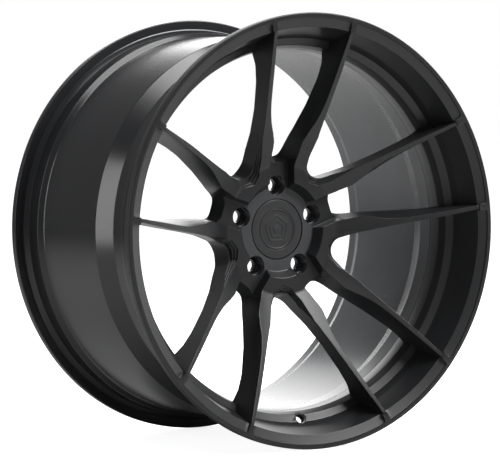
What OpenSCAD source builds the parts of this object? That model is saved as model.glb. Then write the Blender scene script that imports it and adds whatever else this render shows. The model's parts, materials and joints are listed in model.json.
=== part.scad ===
// Concave five-pair forged road and track wheel.
// The wheel stands upright: its axle is the Y axis and its face looks along -Y.
// The origin is on the axle, in the plane of the mounting pad.

/* [Rim] */
// Bead seat diameter (20 inch rim)
bead_seat_d = 508; // [406:1:558]
// Width between the flanges (11 inch rim)
rim_w = 279.4; // [230:0.1:340]
// Height of each flange above its bead seat
flange_h = 17.5; // [15:0.5:20]
// Thickness of each flange
flange_t = 10; // [8:0.5:13]
// Offset of the mounting pad, towards the face, from the middle of the rim
et = 35; // [10:1:50]
// Radial wall of the barrel
barrel_wall = 6.5; // [5:0.5:9]
// Depth of the drop centre below the bead seat
well_depth = 18; // [15:0.5:22]
// Length of the flat floor of the drop centre
well_len = 40; // [30:1:46]
// Depth of the barrel body below the bead seat
body_depth = 6.5; // [4:0.5:9]
// Width of each bead seat
seat_w = 18.5; // [16:0.5:22]
// Height of the safety hump above the bead seat
hump_h = 0.4; // [0.2:0.1:1.2]

/* [Front ledges] */
// Width of the recessed lip face
lip_face_w = 11.5; // [8:0.5:14]
// Depth of the recess in the lip face at its outer edge
lip_recess = 1.9; // [1:0.1:3]
// Width of the ledge that holds the valve hole
valve_ledge_w = 9; // [7:0.5:11]
// Diameter of the valve hole
valve_d = 11.3; // [8:0.1:16]
// Tilt of the valve hole and its ledge away from the axle
valve_tilt = 24; // [15:1:32]
// Wall between the valve ledge and the drop centre
valve_wall = 11; // [8:0.5:14]

/* [Hub] */
// Diameter of the bore that the car's spigot fills
hub_bore_d = 66.6; // [56:0.1:75]
// Length of that bore
hub_bore_len = 10; // [6:0.5:12]
// Bolt circle diameter
bolt_circle_d = 112; // [98:0.1:120]
// Diameter of the through holes for the wheel bolts
bolt_hole_d = 15; // [12:0.1:16]
// Outside diameter of a lug seat insert
insert_d = 24; // [22:0.5:26]
// Clearance round an insert's mouth in its lug pocket
pocket_gap = 0.5; // [0.2:0.1:1]
// Included angle of the bolt seat cone
seat_angle = 60; // [50:1:90]
// Thickness of the hub under the recess floor
hub_t = 22; // [18:0.5:30]
// Height of the hub webs above the mounting pad
web_h = 35.5; // [30:0.5:44]
// Radius of the recess floor round the cap
recess_r = 54; // [50:0.5:60]
// Radius at which the webs meet the spokes
hub_r = 88; // [84:0.5:96]
// Radius of the mounting pad
pad_r = 72; // [66:0.5:78]
// Width of the channel that runs out from each lug pocket
channel_w = 37; // [30:0.5:40]

/* [Spokes] */
// Number of spoke pairs
pairs = 5; // [5:1:5]
// Width of a spoke's crest at the lip
crest_tip_w = 5; // [4:0.5:7]
// Width of a spoke's crest along its middle
crest_w = 7; // [5:0.5:9]
// Half distance between a pair's outer edges at the lip
pair_half_tip = 62.5; // [58:0.5:66]
// Half distance between a pair's outer edges at the hub
pair_half_root = 38.5; // [36:0.5:40]
// Steepness of the spoke face where it leaves the hub
face_slope = 0.52; // [0.44:0.01:0.6]
// Drop from a spoke's crest to its inner shoulder
shoulder_drop = 7; // [4:0.5:9]

/* [Centre cap] */
// Diameter of the cap's face
cap_d = 75.6; // [70:0.1:78]
// Thickness of the cap's flange
cap_flange_t = 3.8; // [3:0.1:5]
// Clearance between the cap and the hub
cap_gap = 0.7; // [0.3:0.1:1.2]
// Diameter of the socket that the cap's skirt fills
cap_socket_d = 70; // [66:0.1:72]
// Wall of the cap's skirt
cap_skirt_t = 2.5; // [1.8:0.1:3.5]
// Wire diameter of the cap's spring ring
ring_wire_d = 2; // [1.4:0.1:2.4]
// Diameter of the badge set into the cap
badge_d = 52; // [44:0.5:58]
// Thickness of the badge
badge_t = 1.2; // [0.8:0.1:1.8]

/* [Hidden] */
$fn = 96;
pair_ids = [for (i = [1:pairs]) i];
spoke_names = [for (i = pair_ids) each [str("spoke_", i, "_left"), str("spoke_", i, "_right")]];
insert_names = [for (i = pair_ids) str("lug_seat_", i)];

pair_step = 360 / pairs;
bead_r = bead_seat_d / 2;
rim_r = bead_r + flange_h;
front_z = rim_w / 2 + flange_t - et; // front plane, outboard of the mounting pad
back_z = -rim_w / 2 - flange_t - et; // back plane, inboard of the mounting pad
seat_drop = seat_w * tan(5);         // bead seats fall 5 degrees towards the hump
hump_w = 4;
corner = 5;                          // fillet between a flange and its bead seat
edge = 1.2;                          // broken edge on each flange

// Front side of the tyre bed, from the lip inwards
front_seat_z = front_z - flange_t - corner;
front_hump_z = front_seat_z - seat_w;
well_r = bead_r - well_depth;
well_top_z = front_hump_z - 2 * hump_w - (well_depth - seat_drop);
well_end_z = well_top_z - well_len;
// Rear side of the tyre bed
body_front_r = bead_r - body_depth - 1.2;
body_rear_r = bead_r - body_depth + 0.8;
well_rise_z = well_end_z - (body_front_r - well_r) * 2.7;
rear_seat_z = back_z + flange_t + corner;
rear_hump_z = rear_seat_z + seat_w;

// Stepped ledges inside the lip
rim_strip_w = 5; // flush strip outside the recessed lip face
lip_bank_w = 1;  // bank that falls from the strip to the recess
neck_h = 11;     // fall from the valve ledge to the ring's inner edge
lip_step_1 = [-8.5, 10]; // foot of the lip's lower step, from the lip face inwards and the valve ledge up
lip_step_2 = [-4.5, 24]; // foot of its upper step
lip_face_drop = 3.2;     // fall of the lip face across its width
rim_edge_r = rim_r - rim_strip_w;
lip_out_r = rim_edge_r - lip_bank_w;
lip_in_r = lip_out_r - lip_face_w;
ledge_r = well_r - 0.5 * valve_ledge_w + 1;
inner_r = well_r - barrel_wall - 0.5;
valve_ledge_z = well_top_z + valve_wall;
valve_ledge_rise = valve_ledge_w * tan(valve_tilt);
inner_z = valve_ledge_z - neck_h;
weld_z = (well_top_z + well_end_z) / 2;
weld_half = 3.5;
weld_crown = 1.2;
weld_root = 0.5;

// Spoke face: a gently bowed dish from the hub webs to the lip
web_run = 6;     // the face starts to rise this far inside the webs' outer radius
face_tuck = 2;   // the face stops this far inside the lip face
face_sink = 1.7; // and this far below the front plane
face_start_r = hub_r - web_run;
face_end_r = lip_in_r - face_tuck;
face_run = face_end_r - face_start_r;
face_bow = (face_slope * face_run - (front_z - face_sink - web_h)) / pow(face_run, 2);
function face_z(r) = web_h + face_slope * (r - face_start_r) - face_bow * pow(r - face_start_r, 2);
face_rs = [for (i = [0:8]) hub_r + (face_end_r - hub_r) * i / 8];
// Spoke back: rises off the mounting pad, then runs up to the ring's inner edge
back_t = [0, 0.156, 0.298, 0.511, 0.759, 0.9];
back_h = [0, 0.215, 0.466, 0.771, 1.02, 1.07];
pad_step = 1;    // the hub's back is relieved by this much outside the mounting pad
back_pts = [for (k = [0:5])
    [hub_r + (inner_r - hub_r) * back_t[k], pad_step + (inner_z - pad_step) * back_h[k]]
];

// Plan of the right spoke of a pair, u across the pair and v along it
tip_sink = 4;      // the plan runs this far past the lip, and the lip ring trims it
root_sink = 12;    // and this far into the hub, which trims it too
outer_bow = 9.5;   // narrowing of the pair at its middle
inner_bow = 14;    // inner edge of a spoke, in from the pair's edge, two thirds of the way out
inner_flare = 6.5; // and its further spread at the middle
mid_spread = 6.5;  // widening of the pair between the hub and the middle
tip_v = sqrt(pow(rim_edge_r, 2) - pow(pair_half_tip, 2)) + tip_sink;
function along(t) = hub_r + t * (tip_v - hub_r);
root_v = hub_r - root_sink;
root_half = channel_w / 2 - 4;
outer_edge = [
    [pair_half_root, root_v],
    [pair_half_root + 2, along(0.1)],
    [pair_half_root + mid_spread, along(0.3)],
    [pair_half_tip - outer_bow, along(0.58)],
    [pair_half_tip, tip_v]
];
inner_edge = [
    [pair_half_tip - crest_tip_w, tip_v],
    [pair_half_tip - inner_bow, along(0.79)],
    [pair_half_tip - inner_bow - inner_flare, along(0.63)],
    [root_half + 10.5, along(0.285)],
    [root_half + 0.5, along(0.07)],
    [root_half, root_v]
];
shoulder_edge = [
    [pair_half_tip - crest_tip_w, tip_v],
    [pair_half_tip - outer_bow - crest_w, along(0.58)],
    [pair_half_root + 9.5 - crest_w, along(0.41)],
    [pair_half_root - 3, along(0.3)],
    [channel_w / 2 + 7, along(0.18)],
    [channel_w / 2 + 1.5, along(0.11)],
    [channel_w / 2, root_v]
];

insert_r = insert_d / 2;
bolt_r = bolt_hole_d / 2;
bolt_circle_r = bolt_circle_d / 2;
insert_base = 4;   // floor of an insert's socket, above the mounting pad
cone_base = 8;     // foot of the seat cone
insert_land = 0.5; // flat land round the cone's mouth
land_rise = 0.1;
cone_top = cone_base + (insert_r - insert_land - bolt_r) / tan(seat_angle / 2);
insert_top = cone_top + land_rise;
pocket_r = insert_r + pocket_gap;

cap_r = cap_d / 2;
cap_seat_r = cap_r + cap_gap;
cap_base_z = hub_t - cap_flange_t;
cap_lift = 0.2;      // clearance under the cap flange
cap_shoulder_z = cap_base_z - cap_lift;
socket_r = cap_socket_d / 2;
skirt_r = socket_r - cap_gap - ring_wire_d / 2;
skirt_rise = 0.5;    // clearance between the skirt and the socket floor
skirt_end_z = hub_bore_len + skirt_rise;
ring_z = (skirt_end_z + cap_base_z) / 2;
badge_r = badge_d / 2;
badge_gap = 0.2;     // clearance round the badge
cap_edge = 0.8;      // broken edge of the cap
ring_gap = 0.2;      // clearance round the spring ring, on its diameter

window_r = 16;             // corner radius at the root of a wide window
window_root_r = hub_r - 5; // root of a wide window, from the axle
pair_root_r = 15.5;        // corner radius at the root of a pair's window
pair_root_v = hub_r - 3;   // root of a pair's window, from the axle

dark_paint = [0.10, 0.10, 0.11];
barrel_paint = [0.16, 0.16, 0.17];
seat_metal = [0.30, 0.30, 0.32];
cap_paint = [0.12, 0.12, 0.13];
spring_steel = [0.60, 0.60, 0.62];

recess_bank = 8; // width of the bank between the recess floor and the webs
cut = 1;         // overrun of the cutting shapes
cut_start = 8;   // a shoulder's cut starts this far inside the hub's radius
cut_fall = 4;    // and falls this much towards it

// Turns a shape drawn about Z, outboard upwards, onto the axle
module on_axle() {
    rotate([90, 0, 0]) children();
}

// Places a shape drawn along +Y at each pair's centreline
module at_pair(i) {
    rotate([0, 0, pair_step * (i - 1)]) children();
}

module turned(points) {
    rotate_extrude($fn = 180) polygon(points);
}

// Half section of the lip ring, from its front edge round to the weld
ledge_pts = [
    [inner_r, inner_z],
    [ledge_r, valve_ledge_z],
    [ledge_r + valve_ledge_w, valve_ledge_z + valve_ledge_rise],
    [lip_in_r + lip_step_1[0], valve_ledge_z + valve_ledge_rise + lip_step_1[1]],
    [lip_in_r + lip_step_2[0], valve_ledge_z + valve_ledge_rise + lip_step_2[1]],
    [lip_in_r, front_z - lip_recess - lip_face_drop],
    [lip_out_r, front_z - lip_recess],
    [rim_edge_r, front_z]
];
tyre_front_pts = [
    [rim_r - edge, front_z],
    [rim_r, front_z - edge],
    [rim_r, front_z - flange_t + edge],
    [rim_r - edge, front_z - flange_t],
    [bead_r + corner, front_z - flange_t],
    [bead_r, front_seat_z],
    [bead_r - seat_drop, front_hump_z],
    [bead_r + hump_h, front_hump_z - hump_w],
    [bead_r - seat_drop, front_hump_z - 2 * hump_w],
    [well_r, well_top_z]
];

module front_lip_ring() {
    color(dark_paint)
    on_axle()
    difference() {
        turned(concat(
            ledge_pts,
            tyre_front_pts,
            [
                [well_r, weld_z + weld_half],
                [inner_r + weld_root, weld_z + weld_root],
                [inner_r, weld_z + weld_root]
            ]
        ));
        rotate([0, 0, 180])
        translate([0, ledge_r + valve_ledge_w / 2, valve_ledge_z])
        rotate([valve_tilt, 0, 0])
        cylinder(d = valve_d, h = 60, center = true);
    }
}

// The wide shell behind the weld: drop centre, body, rear bead seat and flange
module rim_barrel() {
    color(barrel_paint)
    on_axle()
    turned([
        [inner_r, weld_z - weld_root],
        [inner_r + weld_root, weld_z - weld_root],
        [well_r, weld_z - weld_half],
        [well_r, well_end_z],
        [body_front_r, well_rise_z],
        [body_rear_r, rear_hump_z + 2 * hump_w + 4],
        [bead_r + hump_h, rear_hump_z + hump_w],
        [bead_r - seat_drop, rear_hump_z],
        [bead_r, rear_seat_z],
        [bead_r + corner, back_z + flange_t],
        [rim_r - edge, back_z + flange_t],
        [rim_r, back_z + flange_t - edge],
        [rim_r, back_z + edge],
        [rim_r - edge, back_z],
        [bead_r + 2, back_z],
        [bead_r - barrel_wall - 1, rear_seat_z],
        [bead_r - barrel_wall - 1.5, rear_hump_z - hump_w],
        [body_rear_r - barrel_wall, rear_hump_z + hump_w],
        [body_front_r - barrel_wall, well_rise_z],
        [inner_r, well_end_z]
    ]);
}

// Filler metal in the vee between the lip ring and the barrel
module barrel_weld() {
    color(barrel_paint)
    on_axle()
    turned([
        [inner_r, weld_z - weld_root],
        [inner_r + weld_root, weld_z - weld_root],
        [well_r, weld_z - weld_half],
        [well_r + weld_crown, weld_z - weld_half / 2],
        [well_r + weld_crown, weld_z + weld_half / 2],
        [well_r, weld_z + weld_half],
        [inner_r + weld_root, weld_z + weld_root],
        [inner_r, weld_z + weld_root]
    ]);
}

// One spoke of a pair; side is 1 for the right spoke and -1 for the left
module spoke(i, side) {
    front_pts = [for (k = [8:-1:0]) [face_rs[k], face_z(face_rs[k])]];
    color(dark_paint)
    on_axle()
    at_pair(i)
    mirror([side < 0 ? 1 : 0, 0, 0])
    difference() {
        intersection() {
            turned(concat(back_pts, ledge_pts, front_pts));
            linear_extrude(height = 2 * front_z, center = true) polygon(concat(outer_edge, inner_edge));
        }
        intersection() {
            turned(concat(
                [for (p = front_pts) [p[0], p[1] - shoulder_drop]],
                [
                    [hub_r - cut_start, face_z(hub_r) - shoulder_drop - cut_fall],
                    [hub_r - cut_start, 2 * front_z],
                    [face_end_r, 2 * front_z]
                ]
            ));
            linear_extrude(height = 3 * front_z) polygon(concat(shoulder_edge, [[-1, root_v], [-1, tip_v]]));
        }
    }
}

// Mounting pad, webs, lug pockets and the channels that run out from them
module hub_centre() {
    color(dark_paint)
    on_axle()
    difference() {
        turned([
            [hub_bore_d / 2, 0],
            [pad_r, 0],
            [pad_r + pad_step, pad_step],
            [hub_r, pad_step],
            [hub_r, face_z(hub_r)],
            [face_start_r, web_h],
            [recess_r + recess_bank, web_h],
            [recess_r, hub_t],
            [cap_seat_r, hub_t],
            [cap_seat_r, cap_shoulder_z],
            [socket_r, cap_shoulder_z],
            [socket_r, hub_bore_len],
            [hub_bore_d / 2, hub_bore_len]
        ]);
        for (i = pair_ids) {
            at_pair(i) lug_cuts();
            rotate([0, 0, pair_step / 2]) at_pair(i) wide_window_root();
        }
    }
}

// Bolt hole, insert socket, pocket, channel and root of one pair's window
module lug_cuts() {
    translate([0, bolt_circle_r, 0]) {
        translate([0, 0, -cut]) cylinder(r = bolt_r, h = hub_t + 2 * cut);
        translate([0, 0, insert_base]) cylinder(r = insert_r, h = hub_t);
        translate([0, 0, insert_top]) cylinder(r = pocket_r, h = hub_t);
    }
    translate([-channel_w / 2, bolt_circle_r, hub_t]) cube([channel_w, hub_r, front_z]);
    translate([0, pair_root_v + pair_root_r, -cut]) cylinder(r = pair_root_r, h = front_z);
}

module wide_window_root() {
    translate([0, window_root_r + window_r, -cut]) cylinder(r = window_r, h = front_z);
}

// Hardened sleeve with the bolt's conical seat
module lug_seat(i) {
    color(seat_metal)
    on_axle()
    at_pair(i)
    translate([0, bolt_circle_r, 0])
    turned([
        [bolt_r, insert_base],
        [insert_r, insert_base],
        [insert_r, insert_top],
        [insert_r - insert_land, cone_top],
        [bolt_r, cone_base]
    ]);
}

module centre_cap() {
    color(cap_paint)
    on_axle()
    difference() {
        turned([
            [0, cap_base_z],
            [skirt_r - cap_skirt_t, cap_base_z],
            [skirt_r - cap_skirt_t, skirt_end_z],
            [skirt_r, skirt_end_z],
            [skirt_r, cap_base_z],
            [cap_r, cap_base_z],
            [cap_r, hub_t - cap_edge],
            [cap_r - cap_edge, hub_t],
            [badge_r + badge_gap, hub_t],
            [badge_r + badge_gap, hub_t - badge_t],
            [0, hub_t - badge_t]
        ]);
        translate([0, 0, ring_z])
        rotate_extrude($fn = 180)
        translate([skirt_r, 0])
        circle(d = ring_wire_d + ring_gap, $fn = 32);
    }
}

module cap_badge() {
    color(dark_paint)
    on_axle()
    translate([0, 0, hub_t - badge_t])
    cylinder(r = badge_r, h = badge_t);
}

module cap_spring_ring() {
    color(spring_steel)
    on_axle()
    translate([0, 0, ring_z])
    rotate_extrude($fn = 180)
    translate([skirt_r, 0])
    circle(d = ring_wire_d, $fn = 32);
}

rim_barrel();
barrel_weld();
front_lip_ring();
hub_centre();
for (i = pair_ids) {
    spoke(i, -1);
    spoke(i, 1);
    lug_seat(i);
}
centre_cap();
cap_badge();
cap_spring_ring();
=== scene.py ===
import json
import math

import bmesh
import bpy
from mathutils import Matrix, Vector

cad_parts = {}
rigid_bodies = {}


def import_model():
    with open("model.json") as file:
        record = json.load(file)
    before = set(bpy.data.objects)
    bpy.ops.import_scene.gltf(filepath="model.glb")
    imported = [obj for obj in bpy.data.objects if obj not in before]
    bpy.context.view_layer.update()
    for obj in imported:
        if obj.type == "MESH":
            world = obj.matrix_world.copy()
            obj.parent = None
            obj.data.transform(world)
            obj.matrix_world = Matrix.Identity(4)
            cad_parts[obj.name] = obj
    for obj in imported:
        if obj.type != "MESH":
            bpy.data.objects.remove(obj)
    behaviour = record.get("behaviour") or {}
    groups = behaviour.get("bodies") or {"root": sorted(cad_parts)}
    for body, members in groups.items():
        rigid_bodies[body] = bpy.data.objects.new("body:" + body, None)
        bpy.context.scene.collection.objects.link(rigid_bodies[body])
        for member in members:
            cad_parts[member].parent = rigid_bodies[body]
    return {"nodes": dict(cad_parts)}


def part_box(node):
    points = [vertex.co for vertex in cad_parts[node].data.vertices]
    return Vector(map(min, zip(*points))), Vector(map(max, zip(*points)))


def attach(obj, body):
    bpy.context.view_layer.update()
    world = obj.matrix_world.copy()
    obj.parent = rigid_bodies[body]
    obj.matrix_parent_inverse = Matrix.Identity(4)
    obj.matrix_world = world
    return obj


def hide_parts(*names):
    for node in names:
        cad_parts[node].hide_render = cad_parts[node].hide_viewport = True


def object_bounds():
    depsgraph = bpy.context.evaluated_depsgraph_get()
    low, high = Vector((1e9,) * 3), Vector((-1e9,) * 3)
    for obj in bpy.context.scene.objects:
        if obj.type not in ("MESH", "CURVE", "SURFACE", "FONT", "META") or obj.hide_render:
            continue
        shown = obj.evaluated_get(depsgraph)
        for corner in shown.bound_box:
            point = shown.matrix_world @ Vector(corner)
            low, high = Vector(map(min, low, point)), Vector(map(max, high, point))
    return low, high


for leftover in list(bpy.data.objects):
    bpy.data.objects.remove(leftover)
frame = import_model()
cadLow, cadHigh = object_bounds()

mm = 0.001
pairs = 5
step = math.radians(360 / pairs)  # from one pair of spokes to the next
frontFace = -cadLow.y / mm  # heights are measured outboard from the mounting pad
backFace = -cadHigh.y / mm
rimR = cadHigh.x / mm
hubFace = -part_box("cap_badge")[0].y / mm
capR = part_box("centre_cap")[1].x / mm
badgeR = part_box("cap_badge")[1].x / mm
boreR = 33.3
lugR = 56  # radius of the bolt circle
spokeNodes = [n for n in frame["nodes"] if n.startswith("spoke_")]
seatNodes = [n for n in frame["nodes"] if n.startswith("lug_seat_")]


def at(u, v, a):
    return Vector((u, -a, v)) * mm  # across a pair, along it, and out of the face


def rounded(points, bits=5, closed=True):
    made = []  # a third number is that corner's radius
    for k, point in enumerate(points):
        here = Vector(point[:2])
        if len(point) < 3 or (not closed and k in (0, len(points) - 1)):
            made.append(here)
            continue
        before = Vector(points[k - 1][:2]) - here
        after = Vector(points[(k + 1) % len(points)][:2]) - here
        half = before.angle(after) / 2
        reach = min(point[2] / math.tan(half), before.length * 0.48, after.length * 0.48)
        before.normalize()
        after.normalize()
        middle = here + (before + after).normalized() * reach / math.cos(half)
        arm = here + before * reach - middle
        turn = math.copysign(math.pi - 2 * half, -before.cross(after))
        made += [middle + Matrix.Rotation(turn * n / bits, 2) @ arm for n in range(bits + 1)]
    return made


def arc(middle, radius, start, end, bits):
    angles = [math.radians(start + (end - start) * n / bits) for n in range(bits + 1)]
    return [(middle[0] + radius * math.cos(t), middle[1] + radius * math.sin(t)) for t in angles]


def editing(on):
    bpy.ops.object.mode_set(mode="EDIT" if on else "OBJECT")


def onlyThis(obj):
    bpy.ops.object.select_all(action="DESELECT")
    obj.select_set(True)
    bpy.context.view_layer.objects.active = obj


def tidyMesh(obj, weld=0.002):
    onlyThis(obj)
    editing(True)
    bpy.ops.mesh.select_all(action="SELECT")
    bpy.ops.mesh.remove_doubles(threshold=weld * mm)
    bpy.ops.mesh.normals_make_consistent(inside=False)
    editing(False)


def lathe(name, outline, steps, turn=math.tau):
    bpy.ops.object.select_all(action="DESELECT")
    bpy.ops.mesh.primitive_plane_add(size=mm)
    obj = bpy.context.object
    obj.name = name
    editing(True)
    bpy.ops.mesh.merge(type="CENTER")
    spot = Vector((0, 0, 0))
    for k, (r, a) in enumerate(outline):
        move = at(0, r, a) - spot
        spot = at(0, r, a)
        if k == 0:
            bpy.ops.transform.translate(value=move)
        else:
            bpy.ops.mesh.extrude_region_move(TRANSFORM_OT_translate={"value": move})
    mesh = bmesh.from_edit_mesh(obj.data)
    if outline[0][0] or outline[-1][0]:  # an outline that starts and ends on the axle needs no closing edge
        for vert in mesh.verts:
            vert.select_set(len(vert.link_edges) == 1)
        mesh.select_flush_mode()
        bpy.ops.mesh.edge_face_add()
    bpy.ops.mesh.select_all(action="SELECT")
    bpy.ops.mesh.spin(steps=steps, angle=-turn, center=(0, 0, 0), axis=(0, 1, 0))
    bpy.ops.mesh.select_all(action="SELECT")
    bpy.ops.mesh.remove_doubles(threshold=0.002 * mm)
    if turn < math.tau:
        bpy.ops.mesh.fill_holes(sides=0)
    bpy.ops.mesh.select_all(action="SELECT")
    bpy.ops.mesh.normals_make_consistent(inside=False)
    editing(False)
    return obj


def skin(name, rings):
    bpy.ops.object.select_all(action="DESELECT")
    bpy.ops.mesh.primitive_circle_add(vertices=len(rings[0]), fill_type="NGON")
    obj = bpy.context.object
    obj.name = name
    editing(True)
    bpy.ops.mesh.select_all(action="SELECT")
    for k, ring in enumerate(rings):
        if k:
            bpy.ops.mesh.extrude_region_move()
        mesh = bmesh.from_edit_mesh(obj.data)
        corners = [v for v in mesh.verts if v.select]
        for n, place in enumerate(ring):
            vert = corners[n] if k == 0 else min(corners, key=lambda v: (v.co - rings[k - 1][n]).length)
            corners = corners if k == 0 else [v for v in corners if v != vert]
            vert.co = place
        bmesh.update_edit_mesh(obj.data)
    bpy.ops.mesh.select_all(action="SELECT")
    bpy.ops.mesh.normals_make_consistent(inside=False)
    editing(False)
    return obj


def prism(name, outline, low, high):
    return skin(name, [[at(u, v, a) for u, v in outline] for a in (low, high)])


def carve(obj, cutter, how="DIFFERENCE"):
    tool = obj.modifiers.new(how, "BOOLEAN")
    tool.operation = how
    tool.object = cutter
    tool.solver = "EXACT"
    onlyThis(obj)
    bpy.ops.object.modifier_apply(modifier=tool.name)
    bpy.data.objects.remove(cutter)
    return obj


def turnedCopy(obj, angle, name=None):
    made = obj.copy()
    made.data = obj.data.copy()
    made.name = name or obj.name
    bpy.context.scene.collection.objects.link(made)
    made.data.transform(Matrix.Rotation(angle, 4, "Y"))
    return made


def join(objs, name):
    onlyThis(objs[0])
    for obj in objs[1:]:
        obj.select_set(True)
    bpy.ops.object.join()
    objs[0].name = name
    return objs[0]


def soften(obj, width, bits=2, sharp=30):
    tool = obj.modifiers.new("soften", "BEVEL")
    tool.width = width * mm
    tool.segments = bits
    tool.limit_method = "ANGLE"
    tool.angle_limit = math.radians(sharp)
    tool.use_clamp_overlap = False
    onlyThis(obj)
    bpy.ops.object.modifier_apply(modifier=tool.name)


def smooth(obj, angle=35, flat=False):
    onlyThis(obj)
    bpy.ops.object.shade_smooth_by_angle(angle=math.radians(angle))
    if flat:
        tool = obj.modifiers.new("flat", "WEIGHTED_NORMAL")
        tool.keep_sharp = True
        tool.weight = 80
        bpy.ops.object.modifier_apply(modifier=tool.name)


# the face forging: hub, spokes and the webs between them
face = {
    "web": 35.5,          # height of the hub webs
    "webR": 82,           # radius at which the face starts to rise
    "slope": 0.52,
    "lipR": 252,          # radius at which the face meets the lip
    "recessR": 54,
    "bankR": 61.6,        # radius at which the recess wall meets the webs
    "padR": 72,           # edge of the mounting pad
    "boreLen": 10,
    "socketR": 35,        # socket that the cap's skirt fills
    "capSeat": 18,        # height of the shoulder under the cap
    "lipSink": 1.7,       # the face stops this far below the front plane
    "ringR": 267.6,       # the forging runs in under the lip ring to here
    "channelHalf": 16.6,  # half width of a lug channel at its floor
    "edge": 0.55,         # broken edges
}
faceRun = face["lipR"] - face["webR"]
faceBow = (face["slope"] * faceRun - (frontFace - face["lipSink"] - face["web"])) / faceRun ** 2


def faceHeight(r):
    run = max(0, r - face["webR"])
    return face["web"] + face["slope"] * run - faceBow * run * run


# one station a row, hub to lip: v, u of the crest's inner edge, u and height of the ridge below it,
# then v, u and height of the back edge
shoulder = [
    (90, 19.4, 17.4, 22.6, 97, 12.6, 4),
    (98, 20.0, 18.7, 26.5, 102, 15.6, 8),
    (109, 21.3, 19.6, 34.5, 110, 17.9, 13),
    (120, 25.6, 21.3, 41.5, 120, 19.9, 20),
    (130, 30.9, 24.5, 47.2, 130, 22.6, 27),
    (145, 37.0, 29.6, 55.6, 145, 26.8, 36),
    (160, 41.0, 34.6, 63.2, 160, 31.0, 44),
    (181, 44.6, 40.2, 74.4, 181, 37.0, 52.5),
    (200, 47.4, 44.5, 84.0, 200, 42.2, 58.5),
    (216, 49.9, 47.9, 92.0, 216, 46.4, 60.0),
    (232, 52.4, 51.0, 99.6, 232, 50.6, 57),
    (264, 57.4, 56.9, 112.4, 264, 57.0, 56),
]
outerEdge = [
    (41.0, 90), (41.4, 104), (42.6, 122), (45.2, 142),
    (48.3, 163), (53, 190), (57.6, 226), (62.4, 264),
]
steps = {"count": 3, "drop": 2.6, "vertexR": 71, "rise": 3.6}


def flowing(rows, bits=4):
    made = []
    for k in range(len(rows) - 1):
        before, here, there, after = (rows[max(0, min(len(rows) - 1, k + n))] for n in (-1, 0, 1, 2))
        for n in range(bits):
            t = n / bits
            row = []
            for p, q, r, s in zip(before, here, there, after):
                bend = (2 * p - 5 * q + 4 * r - s) * t * t + (3 * q - p - 3 * r + s) * t ** 3
                row.append(0.5 * (2 * q + (r - p) * t + bend))
            made.append(row)
    return made + [list(rows[-1])]


def forgingBlank():
    top = [(r, faceHeight(r)) for r in (92, 106, 122, 140, 160, 182, 206, 230, 252)]
    back = [(231.2, 55.6), (215, 60.7, 20), (195, 57.9, 40), (160, 44, 40)]
    back += [(130, 27, 40), (110, 13, 20), (88, 1, 10)]
    outline = [
        (boreR + 0.8, 0), (boreR, 0.8), (boreR, face["boreLen"]), (face["socketR"], face["boreLen"]),
        (face["socketR"], face["capSeat"]), (capR + 0.7, face["capSeat"]), (capR + 0.7, hubFace),
        (face["recessR"], hubFace, 2.5), (face["bankR"], face["web"], 1.5), (face["webR"], face["web"], 14),
        *top, (262, frontFace - 0.5), (face["ringR"], frontFace - 0.1), (face["ringR"], frontFace - 3.6),
        (256.4, 107.4), (252, 95), (247.9, 81), (243.8, 70.4), (234.8, 66.2),
        *back, (face["padR"] + 1, 1), (face["padR"], 0)
    ]
    return lathe("face_forging", rounded(outline, 4), 24, step / 2)


def wideWindow():
    rings = []
    for a, rootR in ((-10, 89.4), (face["web"] + 1, 81.4), (150, 81.4)):
        radius = (rootR * math.sin(step / 2) - outerEdge[0][0]) / (1 - math.sin(step / 2))
        middle = ((rootR + radius) * math.sin(step / 2), (rootR + radius) * math.cos(step / 2))
        root = arc(middle, radius, -96, -180, 10)
        moved = middle[1] - outerEdge[0][1]
        ring = [(u, v + max(0, moved * (1 - n / 3))) for n, (u, v) in enumerate(outerEdge[1:])]
        rings.append([at(u, v, a) for u, v in root + ring + [(66, 290), (260, 290), (180, 90)]])
    return skin("wide_window", rings)


def pairWindow():
    root = [(0, 85, 22, 0, 93, 2), (7, 85.2, 22, 5, 93.3, 2), (12.4, 86.6, 22.3, 9.4, 94.6, 2.6)]
    lines = flowing([(u, v, a, backU, backV, backA) for v, _, u, a, backV, backU, backA in shoulder])
    lines = flowing(root + [tuple(lines[0])], 3)[:-1] + lines
    below, above = -12, 160  # the cutter runs past the forging at both faces
    edges = [
        ((97, below), [at(line[3], line[4], below) for line in lines], below),
        ((93, 2), [at(*line[3:]) for line in lines], 56),
        ((85, 22), [at(*line[:3]) for line in lines], 120),
        ((85, above), [at(line[0], line[1], above) for line in lines], above),
    ]
    rings = [[at(-9, *start), *edge, at(57, 290, end), at(-9, 290, end)] for start, edge, end in edges]
    return skin("pair_window", rings)


def shoulderCut():
    rings = []
    for v, crestU, ridgeU, ridgeA, *_ in flowing(shoulder):
        crestA = faceHeight(math.hypot(crestU, v))
        overU = ridgeU + 1.6 * (crestU - ridgeU)
        overA = ridgeA + 1.6 * (crestA - ridgeA)
        corners = [(ridgeU, ridgeA), (overU, overA), (overU, 170), (-9, 170), (-9, ridgeA)]
        rings.append([at(u, v, a) for u, a in corners])
    rings.append([p + at(0, 20, 0) for p in rings[-1]])
    return skin("shoulder_cut", rings)


def lugChannel():
    half = face["channelHalf"]
    low = [(-half, 48), (half, 48), (half, 99), (-half, 99)]
    rings = [[at(u * (1 + rise * 0.0075), v, hubFace + rise) for u, v in low] for rise in (0.3, 40)]
    return skin("lug_channel", rings)


def lugPocket():
    outline = [(0, -2), (7.5, -2), (7.5, 4), (12.02, 4), (12.02, 15.2), (12.5, 15.2), (12.9, 60), (0, 60)]
    cutter = lathe("lug_pocket", outline, 40)
    cutter.data.transform(Matrix.Translation(at(0, lugR, 0)))
    return cutter


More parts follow.
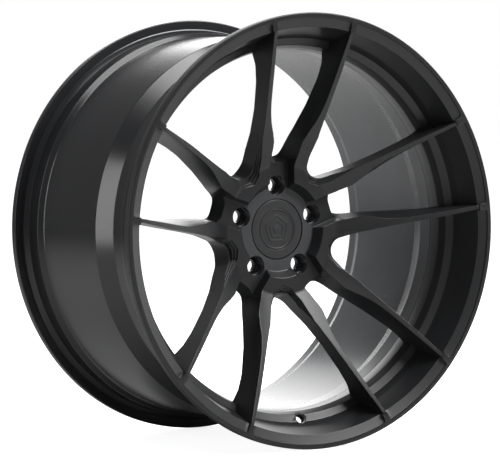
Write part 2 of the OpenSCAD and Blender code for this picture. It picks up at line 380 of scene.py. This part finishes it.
def windowSteps(k):
    drop = steps["drop"] * (k + 1)
    vertexR = steps["vertexR"] + steps["rise"] * k
    run = [(34.6 + 2.0 * k, 69 + 1.6 * k), (35.2 + 1.9 * k, 86), (41.8, 114 - 5 * k), (58, 128), (96, 118)]
    vertex = (vertexR * math.sin(step / 2), vertexR * math.cos(step / 2))
    lean = 2 * (math.pi / 2 - step / 2)
    u, v = run[0]
    mirrored = (u * math.cos(lean) + v * math.sin(lean), u * math.sin(lean) - v * math.cos(lean))
    cutter = prism("window_step", [mirrored, vertex, *run], 10, 140)
    profile = [(58, face["web"] - drop), (face["webR"] - 3, face["web"] - drop)]
    profile += [(r, faceHeight(r) - drop) for r in (88, 98, 108, 118, 130)]
    over = lathe("step_floor", profile + [(130, 130), (58, 130)], 26, step * 1.1)
    over.data.transform(Matrix.Rotation(-step * 0.05, 4, "Y"))
    return carve(cutter, over, "INTERSECT")


def faceForging():
    part = forgingBlank()
    for cutter in (shoulderCut(), pairWindow(), wideWindow(), lugChannel(), lugPocket()):
        carve(part, cutter)
    for k in range(steps["count"]):
        carve(part, windowSteps(k))
    tidyMesh(part, 0.02)
    editing(True)  # the two cut planes of the half sector are opened before it is mirrored
    mesh = bmesh.from_edit_mesh(part.data)
    side = Vector((math.cos(step / 2), 0, -math.sin(step / 2)))
    for f in mesh.faces:
        onMiddle = all(abs(v.co.x) < 0.01 * mm for v in f.verts)
        onSide = all(abs(v.co.dot(side)) < 0.01 * mm for v in f.verts)
        f.select_set(onMiddle or onSide)
    bmesh.update_edit_mesh(part.data)
    bpy.ops.mesh.delete(type="FACE")
    editing(False)
    other = turnedCopy(part, 0)
    other.data.transform(Matrix.Scale(-1, 4, (1, 0, 0)))
    sector = join([part, other], "face_forging")
    whole = join([sector] + [turnedCopy(sector, step * k) for k in range(1, pairs)], "face_forging")
    tidyMesh(whole, 0.03)
    onlyThis(whole)
    editing(True)
    bpy.ops.mesh.select_all(action="SELECT")
    bpy.ops.mesh.dissolve_degenerate(threshold=0.02 * mm)
    bpy.ops.mesh.dissolve_limited(angle_limit=math.radians(0.4))
    editing(False)
    soften(whole, face["edge"], sharp=24)
    smooth(whole, 40, True)
    return whole


# the lip ring, the barrel and the weld between them
lip = {
    "strip": 6,         # flush strip and bank outside the lip pockets
    "pocketGap": 1.2,
    "pocketDepth": 1.9,
    "pocketCorner": 4.5,
    "pocketR": 249,     # inner radius of the pocket floor
    "valveR": 5.65,
    "valveMouthR": 7.6,
    "valveTilt": 24,
    "flange": 10,       # thickness of the flange
    "neck": 229,        # inner radius at the weld
}


def lipRing():
    outline = [
        (lip["neck"], 39.4), (lip["neck"], 56.8, 1.6), (232.5, 67.8, 2.2), (241.5, 71.8, 2.5),
        (245.5, 81.8, 3.5), (249.5, 95.8, 3), (253.6, 109.4, 1.5), (254.2, frontFace),
        (rimR, frontFace, 1.3), (rimR, frontFace - lip["flange"], 1.3), (259, frontFace - lip["flange"], 4),
        (254, 99.7, 1), (252.4, 81.2, 1.5), (254.4, 77.2, 1.5), (252.4, 73.2, 2),
        (236, 56.8, 9), (236, 38.8)
    ]
    ring = lathe("front_lip", rounded(outline, 4), 200)
    outR = rimR - lip["strip"]
    inR = lip["pocketR"]
    floor = [(inR, 108.2), (outR, frontFace - lip["pocketDepth"]), (outR, 125), (inR, 125)]
    pockets = []
    for k in range(2 * pairs):
        wide = k % 2
        if wide:
            c, s = math.cos(step / 2), math.sin(step / 2)
            edgeUV = [(u + lip["pocketGap"], v) for u, v in ((60.2, 247), (61.9, 257.8))]
            side = [(-(u * c - v * s), v * c + u * s) for u, v in edgeUV]
        else:
            side = [(54.7 - lip["pocketGap"], 247), (56.7 - lip["pocketGap"], 259.4)]
        end = math.asin(side[1][0] / outR)
        bow = [(outR * math.sin(end * n / 9), outR * math.cos(end * n / 9)) for n in range(-8, 9)]
        corner = (outR * math.sin(end), outR * math.cos(end), lip["pocketCorner"])
        left = (-corner[0], *corner[1:])
        outline = [(-side[0][0], side[0][1]), left, *bow, corner, side[0]]
        inner = [(248 * math.sin(end * n / 9), 248 * math.cos(end * n / 9)) for n in range(8, -9, -1)]
        pocket = prism("lip_pocket", rounded(outline + inner, 5), 90, 120)
        pocket.data.transform(Matrix.Rotation(step / 2 * k, 4, "Y"))
        pockets.append(pocket)
    cutter = carve(lathe("pocket_floor", floor, 200), join(pockets, "lip_pockets"), "INTERSECT")
    carve(ring, cutter)
    tilt = math.radians(lip["valveTilt"])
    deep, mouth = lip["valveR"], lip["valveMouthR"]
    bore = [(0, -30), (deep, -30), (deep, -1.2), (mouth, -1.0), (mouth, 30), (0, 30)]
    drill = lathe("valve_drill", bore, 48)
    drill.data.transform(Matrix.Translation(at(0, -237, 69.8)) @ Matrix.Rotation(-tilt, 4, "X"))
    carve(ring, drill)
    tidyMesh(ring, 0.01)
    soften(ring, 0.35)
    smooth(ring)
    return ring


shellSizes = {
    "weldFace": 38.3,
    "wellR": 236,
    "neck": 229,
    "bodyR": 246.3,
    "rearBodyR": 248.3,
    "flange": 10,       # thickness of the flange
}


def barrel():
    flangeFace = backFace + shellSizes["flange"]
    outline = [
        (shellSizes["neck"], shellSizes["weldFace"]), (shellSizes["wellR"], shellSizes["weldFace"]),
        (shellSizes["wellR"], 16.8, 8), (shellSizes["bodyR"], -11, 8), (shellSizes["rearBodyR"], -139.2, 8),
        (254.4, -147.2, 2), (252.4, -151.2, 1.5), (254, -169.7, 1), (259, flangeFace, 4),
        (rimR, flangeFace, 1.3), (rimR, backFace, 1.3), (256, backFace, 1.5), (246.5, -169.7, 4),
        (246, -155.2, 1.5), (241.8, -143.2, 5), (239.8, -11, 2.5), (shellSizes["neck"], 16.8, 2.5)
    ]
    part = lathe("rim_barrel_shell", rounded(outline, 5), 240)
    smooth(part)
    return part


weldSizes = {"root": 229.1, "outside": 236, "crown": 236.25}  # radii


def weldBand():
    root, outside, crown = weldSizes["root"], weldSizes["outside"], weldSizes["crown"]
    outline = [(root, 38.2), (outside, 34.6), (crown, 36.4), (crown, 41.2), (outside, 43), (root, 39.5)]
    band = lathe("weld_band", outline, 240)
    smooth(band)
    return band


# the pieces in the hub
def lugSeats():
    outline = [(7.5, 4), (11.98, 4), (11.98, 15, 0.4), (11.5, 15.2, 0.3), (7.9, 8.6, 0.6), (7.5, 8)]
    first = lathe("lug_seat", rounded(outline, 3), 64)
    first.data.transform(Matrix.Translation(at(0, lugR, 0)))
    smooth(first)
    made = [turnedCopy(first, -step * k, f"seat_sleeve_{k + 1}") for k in range(pairs)]
    bpy.data.objects.remove(first)
    return made


capSizes = {
    "flange": 3.8,
    "badgeBed": 2.6,   # depth of the badge's bed
    "badgeGap": 0.4,
    "skirtR": 33.3,
    "skirtWall": 2.5,
    "skirtEnd": 10.5,  # height of the skirt's inboard end
}
badgeSizes = {
    "rim": 0.2,        # depth of the badge's rim below the cap's face
    "dish": 0.9,       # depth of its dished floor
    "pentagons": ((19, 16.6), (12.4, 10.6), (6, 0)),  # outer and inner radius of each raised pentagon
}


def centreCap():
    under = hubFace - capSizes["flange"]
    bed = hubFace - capSizes["badgeBed"]
    skirtR, insideR = capSizes["skirtR"], capSizes["skirtR"] - capSizes["skirtWall"]
    mouthR = badgeR + capSizes["badgeGap"]
    outline = [
        (0, bed), (mouthR, bed), (mouthR, hubFace, 0.5), (capR, hubFace, 1.1), (capR, under, 0.3),
        (skirtR, under), (skirtR, capSizes["skirtEnd"], 0.4), (insideR, capSizes["skirtEnd"], 0.4),
        (insideR, under, 1), (0, under)
    ]
    cap = lathe("cap_shell", rounded(outline, 3), 128)
    smooth(cap)
    return cap


def pentagon(name, radius, low, high):
    corners = [(math.sin(step * k), math.cos(step * k)) for k in range(pairs)]
    return prism(name, rounded([(radius * u, radius * v, radius * 0.25) for u, v in corners]), low, high)


def capBadge():
    dish = hubFace - badgeSizes["dish"]
    bed = hubFace - capSizes["badgeBed"]
    rim = hubFace - badgeSizes["rim"]
    outline = [(0, bed), (badgeR, bed), (badgeR, rim, 0.5), (badgeR - 1.6, rim, 0.4)]
    outline += [(badgeR - 2.3, dish, 0.4), (0, dish)]
    badge = lathe("cap_medallion", rounded(outline, 3), 128)
    for outer, inner in badgeSizes["pentagons"]:
        raised = pentagon("raised_pentagon", outer, dish - 0.5, dish + 0.5)
        if inner:
            carve(raised, pentagon("gap", inner, dish - 2, dish + 2))
        carve(badge, raised, "UNION")
    soften(badge, 0.15)
    smooth(badge)
    return badge


# the finishes
def finish(name, colour, rough, coat, grain, depth, fleck=0.0, metal=0.0):
    made = bpy.data.materials.new(name)
    made.use_nodes = True
    nodes, links = made.node_tree.nodes, made.node_tree.links
    shader = nodes["Principled BSDF"]
    shader.inputs["Metallic"].default_value = metal
    shader.inputs["Coat Weight"].default_value = coat
    shader.inputs["Coat Roughness"].default_value = 0.16
    place = nodes.new("ShaderNodeTexCoord")
    peel = nodes.new("ShaderNodeTexNoise")  # orange peel of the sprayed coat
    peel.inputs["Scale"].default_value = grain
    peel.inputs["Detail"].default_value = 3
    cloud = nodes.new("ShaderNodeTexNoise")  # slow change of film thickness over the part
    cloud.inputs["Scale"].default_value = 14
    cloud.inputs["Detail"].default_value = 5
    speck = nodes.new("ShaderNodeTexVoronoi")  # fine flecks in the coat
    speck.inputs["Scale"].default_value = grain * 2.5
    for texture in (peel, cloud, speck):
        links.new(place.outputs["Object"], texture.inputs["Vector"])
    tint = nodes.new("ShaderNodeValToRGB")
    tint.color_ramp.elements[0].position = 0.32
    tint.color_ramp.elements[1].position = 0.70
    tint.color_ramp.elements[0].color = (*[c * 0.9 for c in colour], 1)
    tint.color_ramp.elements[1].color = (*[c * 1.1 for c in colour], 1)
    links.new(cloud.outputs["Fac"], tint.inputs["Fac"])
    glint = nodes.new("ShaderNodeMapRange")
    glint.inputs["From Min"].default_value = 0.0
    glint.inputs["From Max"].default_value = 0.18
    glint.inputs["To Min"].default_value = fleck
    glint.inputs["To Max"].default_value = 0.0
    links.new(speck.outputs["Distance"], glint.inputs["Value"])
    shade = nodes.new("ShaderNodeMix")
    shade.data_type = "RGBA"
    shade.inputs["B"].default_value = (*[min(1, c * 3 + 0.03) for c in colour], 1)
    links.new(glint.outputs["Result"], shade.inputs["Factor"])
    links.new(tint.outputs["Color"], shade.inputs["A"])
    links.new(shade.outputs["Result"], shader.inputs["Base Color"])
    satin = nodes.new("ShaderNodeMapRange")
    satin.inputs["To Min"].default_value = rough - 0.03
    satin.inputs["To Max"].default_value = rough + 0.03
    links.new(cloud.outputs["Fac"], satin.inputs["Value"])
    links.new(satin.outputs["Result"], shader.inputs["Roughness"])
    bump = nodes.new("ShaderNodeBump")
    bump.inputs["Strength"].default_value = depth
    bump.inputs["Distance"].default_value = 0.02 * mm
    links.new(peel.outputs["Fac"], bump.inputs["Height"])
    links.new(bump.outputs["Normal"], shader.inputs["Normal"])
    return made


def dress(obj, body, slot, material, *nodes):
    obj.data.materials.clear()
    obj.data.materials.append(material)
    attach(obj, body)
    if nodes:
        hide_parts(*nodes)


finishes = {
    "face_paint": finish("satin black coat", (0.011, 0.0113, 0.0125), 0.36, 0.0, 900, 0.35, 0.10),
    "barrel_paint": finish("satin black barrel coat", (0.012, 0.0125, 0.014), 0.22, 0.0, 700, 0.25, 0.08),
    "seat_metal": finish("phosphated seat steel", (0.035, 0.036, 0.04), 0.14, 0.4, 1500, 0.2, 0.05, 0.55),
    "cap_paint": finish("charcoal cap plastic", (0.022, 0.0225, 0.024), 0.42, 0.0, 1300, 0.3, 0.05),
    "badge_paint": finish("charcoal badge plastic", (0.018, 0.0185, 0.02), 0.45, 0.0, 1300, 0.3, 0.05),
    "spring_steel": finish("drawn spring wire", (0.55, 0.55, 0.56), 0.28, 0.0, 2600, 0.3, 0.0, 1.0),
}


def secondCoat(obj, material, chosen):
    obj.data.materials.append(material)
    for f in obj.data.polygons:
        if chosen(f):
            f.material_index = len(obj.data.materials) - 1


def onRecessFloor(f):
    flat = f.normal.y < -0.99 and abs(f.center.y + hubFace * mm) < 0.1 * mm
    return flat and math.hypot(f.center.x, f.center.z) < (face["recessR"] + 1) * mm


# picks the barrel's inward-facing faces, which get the lighter grey of painted reflection
def insideBarrel(f):
    return Vector((f.center.x, 0, f.center.z)).dot(f.normal) < 0 and f.center.y < -(backFace + 0.7) * mm


recessCoat = finish("matt charcoal recess", (0.036, 0.037, 0.04), 0.5, 0.0, 1000, 0.3, 0.05)
# painted reflection: a lighter grey copy of the satin black barrel paint, standing in for the bright light
# reflected inside the barrel
innerReflectionGrey = finish("inner barrel grey with painted reflection", (0.11, 0.113, 0.12), 0.26, 0.0, 700, 0.2, 0.05)
forging = faceForging()
dress(forging, "wheel", "face_paint", finishes["face_paint"], "hub_centre", *spokeNodes)
secondCoat(forging, recessCoat, onRecessFloor)
print("face forging done")
dress(lipRing(), "wheel", "face_paint", finishes["face_paint"], "front_lip_ring")
print("lip ring done")
shell = barrel()
dress(shell, "wheel", "barrel_paint", finishes["barrel_paint"], "rim_barrel")
# the inside of the barrel is painted lighter grey as painted reflection, not as a second paint colour
secondCoat(shell, innerReflectionGrey, insideBarrel)
dress(weldBand(), "wheel", "barrel_paint", finishes["barrel_paint"], "barrel_weld")
print("barrel done")
for sleeve, node in zip(lugSeats(), sorted(seatNodes)):
    dress(sleeve, "wheel", "seat_metal", finishes["seat_metal"], node)
dress(centreCap(), "cap", "cap_paint", finishes["cap_paint"], "centre_cap")
dress(capBadge(), "cap", "badge_paint", finishes["badge_paint"], "cap_badge")
ring = frame["nodes"]["cap_spring_ring"]
ring.data.materials.clear()
ring.data.materials.append(finishes["spring_steel"])
print("hub pieces done")


# floor, lights and camera
studio = {
    "floor": 0.95,
    "floorGrey": 0.5,
    "floorGlow": 0.86,
    "sideWall": 0.22,
    "backWall": 1.2,
    "cameraPlace": (-1.8431, -2.8423, 0.1533),
    "look": (0.537877, 0.841756, -0.046208),
    "up": (0.03656, 0.03147, 0.99884),
    "lens": 191.02,
    "lights": [  # name, place, aim, size and power
        ("front right softbox", (0.9, -1.2, 1.6), (0, 0, 0), (1.2, 1.2), 62),
        ("left strip", (-2.5, 0.95, 0.5), (0, 0.05, 0), (0.5, 1.9), 16),
        ("top softbox", (-0.3, 0.6, 2.4), (0, 0, 0), (2.2, 1.4), 52),
        ("right card", (2.2, -0.2, 0.3), (0, 0.05, 0), (0.6, 1.6), 16),
        ("rear card", (0.9, 1.5, 0.55), (0, 0.1, -0.15), (1.3, 0.9), 10),
    ],
}


def areaLight(name, place, aim, size, power):
    made = bpy.data.lights.new(name, "AREA")
    made.shape = "RECTANGLE"
    made.size, made.size_y = size
    made.energy = power
    lamp = bpy.data.objects.new(name, made)
    bpy.context.scene.collection.objects.link(lamp)
    lamp.location = place
    lamp.visible_camera = False
    lamp.rotation_euler = (Vector(aim) - Vector(place)).to_track_quat("-Z", "Y").to_euler()


def stageFloor():
    bpy.ops.mesh.primitive_plane_add(size=40, location=(0, 0, cadLow.z - 0.0005))
    floor = bpy.context.object
    floor.name = "pale_floor"
    paint = bpy.data.materials.new("pale floor")
    paint.use_nodes = True
    nodes, links = paint.node_tree.nodes, paint.node_tree.links
    shader = nodes["Principled BSDF"]
    ray = nodes.new("ShaderNodeLightPath")  # pale to the camera, grey to the light that reaches the wheel
    tone = nodes.new("ShaderNodeMix")
    tone.data_type = "RGBA"
    tone.inputs["A"].default_value = (studio["floorGrey"],) * 3 + (1,)
    tone.inputs["B"].default_value = (studio["floor"],) * 3 + (1,)
    links.new(ray.outputs["Is Camera Ray"], tone.inputs["Factor"])
    links.new(tone.outputs["Result"], shader.inputs["Base Color"])
    shader.inputs["Roughness"].default_value = 0.8
    shader.inputs["Emission Color"].default_value = (1, 1, 1, 1)
    glow = nodes.new("ShaderNodeMath")
    glow.operation = "MULTIPLY"
    glow.inputs[1].default_value = studio["floorGlow"]
    links.new(ray.outputs["Is Camera Ray"], glow.inputs[0])
    links.new(glow.outputs[0], shader.inputs["Emission Strength"])
    floor.data.materials.append(paint)


def stageCamera():
    made = bpy.data.cameras.new("camera")
    made.lens = studio["lens"]
    made.sensor_width = 36
    camera = bpy.data.objects.new("camera", made)
    bpy.context.scene.collection.objects.link(camera)
    back = -Vector(studio["look"]).normalized()
    right = Vector(studio["up"]).cross(back).normalized()
    up = back.cross(right)
    turn = Matrix((right, up, back)).transposed()
    camera.matrix_world = Matrix.Translation(studio["cameraPlace"]) @ turn.to_4x4()
    made.clip_end = 60
    bpy.context.scene.camera = camera


def studioSky():
    sky = bpy.data.worlds.new("studio")
    sky.use_nodes = True
    nodes, links = sky.node_tree.nodes, sky.node_tree.links
    place = nodes.new("ShaderNodeTexCoord")
    toward = nodes.new("ShaderNodeVectorMath")  # a white wall behind the wheel and dim walls elsewhere
    toward.operation = "DOT_PRODUCT"
    toward.inputs[1].default_value = studio["look"]
    links.new(place.outputs["Generated"], toward.inputs[0])
    wall = nodes.new("ShaderNodeMapRange")
    wall.interpolation_type = "SMOOTHSTEP"
    wall.inputs["From Min"].default_value = 0.70
    wall.inputs["From Max"].default_value = 0.92
    wall.inputs["To Min"].default_value = studio["sideWall"]
    wall.inputs["To Max"].default_value = studio["backWall"]
    links.new(toward.outputs["Value"], wall.inputs["Value"])
    ray = nodes.new("ShaderNodeLightPath")
    seen = nodes.new("ShaderNodeMix")  # the camera sees plain white
    seen.inputs["B"].default_value = 1.0
    links.new(ray.outputs["Is Camera Ray"], seen.inputs["Factor"])
    links.new(wall.outputs["Result"], seen.inputs["A"])
    links.new(seen.outputs["Result"], nodes["Background"].inputs["Strength"])
    nodes["Background"].inputs["Color"].default_value = (1, 1, 1, 1)
    bpy.context.scene.world = sky


stageFloor()
stageCamera()
studioSky()
for light in studio["lights"]:
    areaLight(*light)
bpy.context.scene.view_settings.view_transform = "Standard"
print("stage done")
